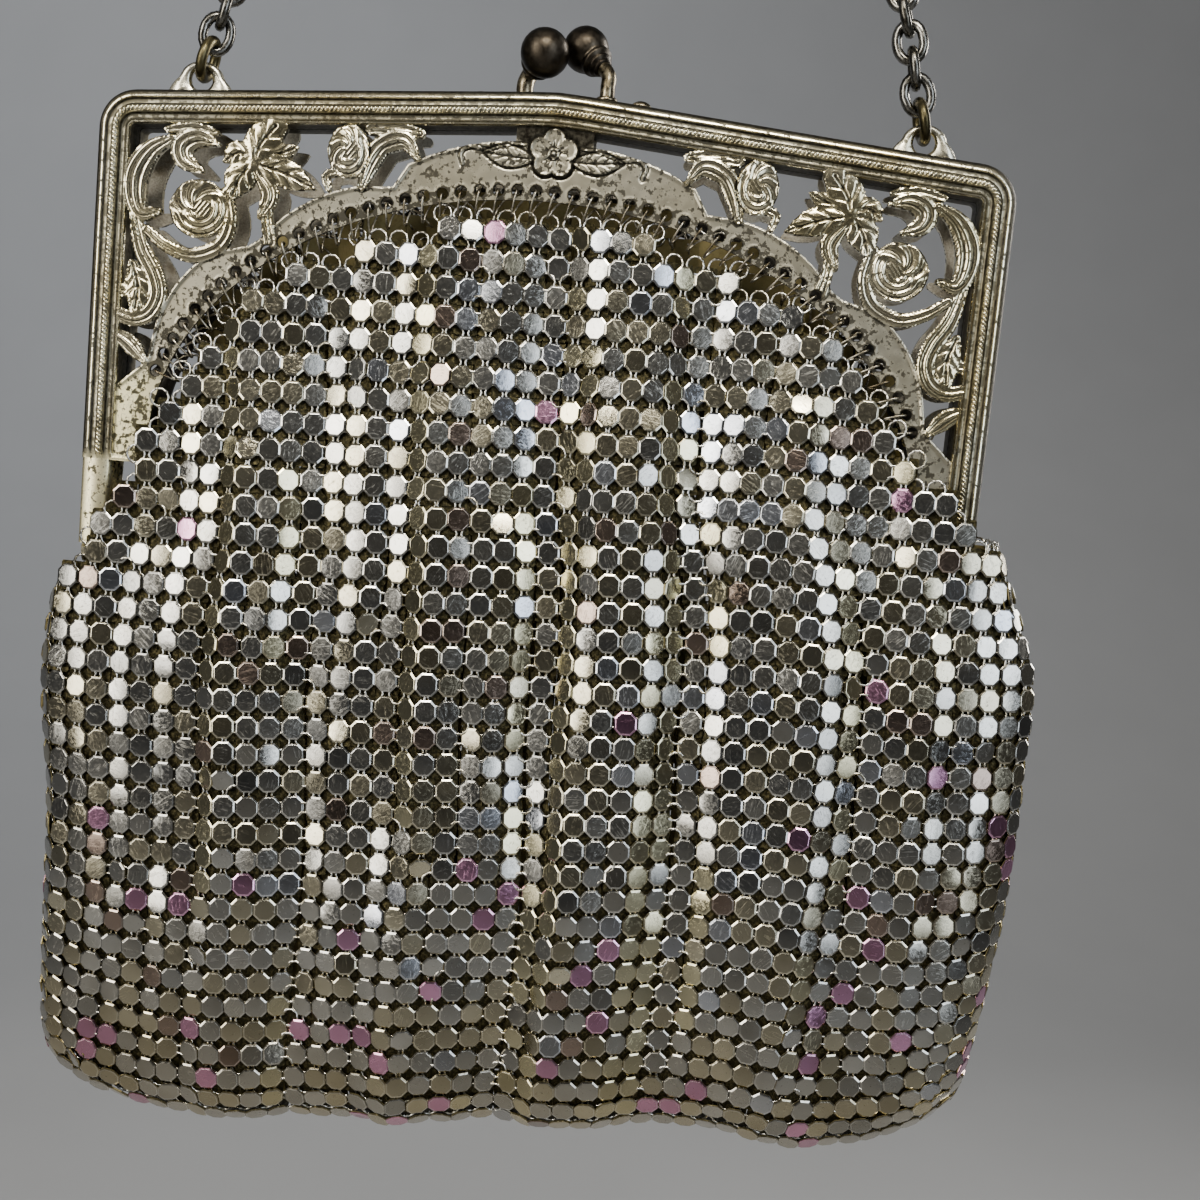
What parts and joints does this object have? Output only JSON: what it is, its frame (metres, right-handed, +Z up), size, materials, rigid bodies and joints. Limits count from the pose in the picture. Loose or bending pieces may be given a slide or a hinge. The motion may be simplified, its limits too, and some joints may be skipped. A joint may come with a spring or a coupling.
{
  "type": "metal mesh frame handbag",
  "caption": "Handbag of linked metal scales on a hinged silver-plated frame with pierced scroll corners, a ball clasp and a chain handle, shown hanging from its chain.",
  "frame": {"origin": "inside of the bend at the top of the chain handle, where the bag hangs", "axes": "+Z up along the hanging bag, +X to the viewer's right across the frame, the front faces -Y"},
  "size_m": [0.1424, 0.0192, 0.3068],
  "materials": {
    "silver_plate": "worn silver plate, yellowed and black in the recesses",
    "mesh_scales": "bright flat scales with bevelled edges, scratched and tarnished",
    "clasp_gunmetal": "dark tarnished metal, polished by use",
    "ring_bronze": "dull olive-bronze wire",
    "chain_steel": "dark bare metal links, worn bright on their crowns"
  },
  "bodies": {
    "root": {"frame_front": "silver_plate", "frame_back": "silver_plate", "hinge_pin_left": "silver_plate", "hinge_pin_right": "silver_plate", "clasp_front": "clasp_gunmetal", "clasp_back": "clasp_gunmetal", "clasp_rivet_front": "clasp_gunmetal", "clasp_rivet_back": "clasp_gunmetal", "jump_ring_left": "ring_bronze", "jump_ring_right": "ring_bronze", "chain_handle": "chain_steel", "mesh_pouch": "mesh_scales"}
  },
  "joints": []
}
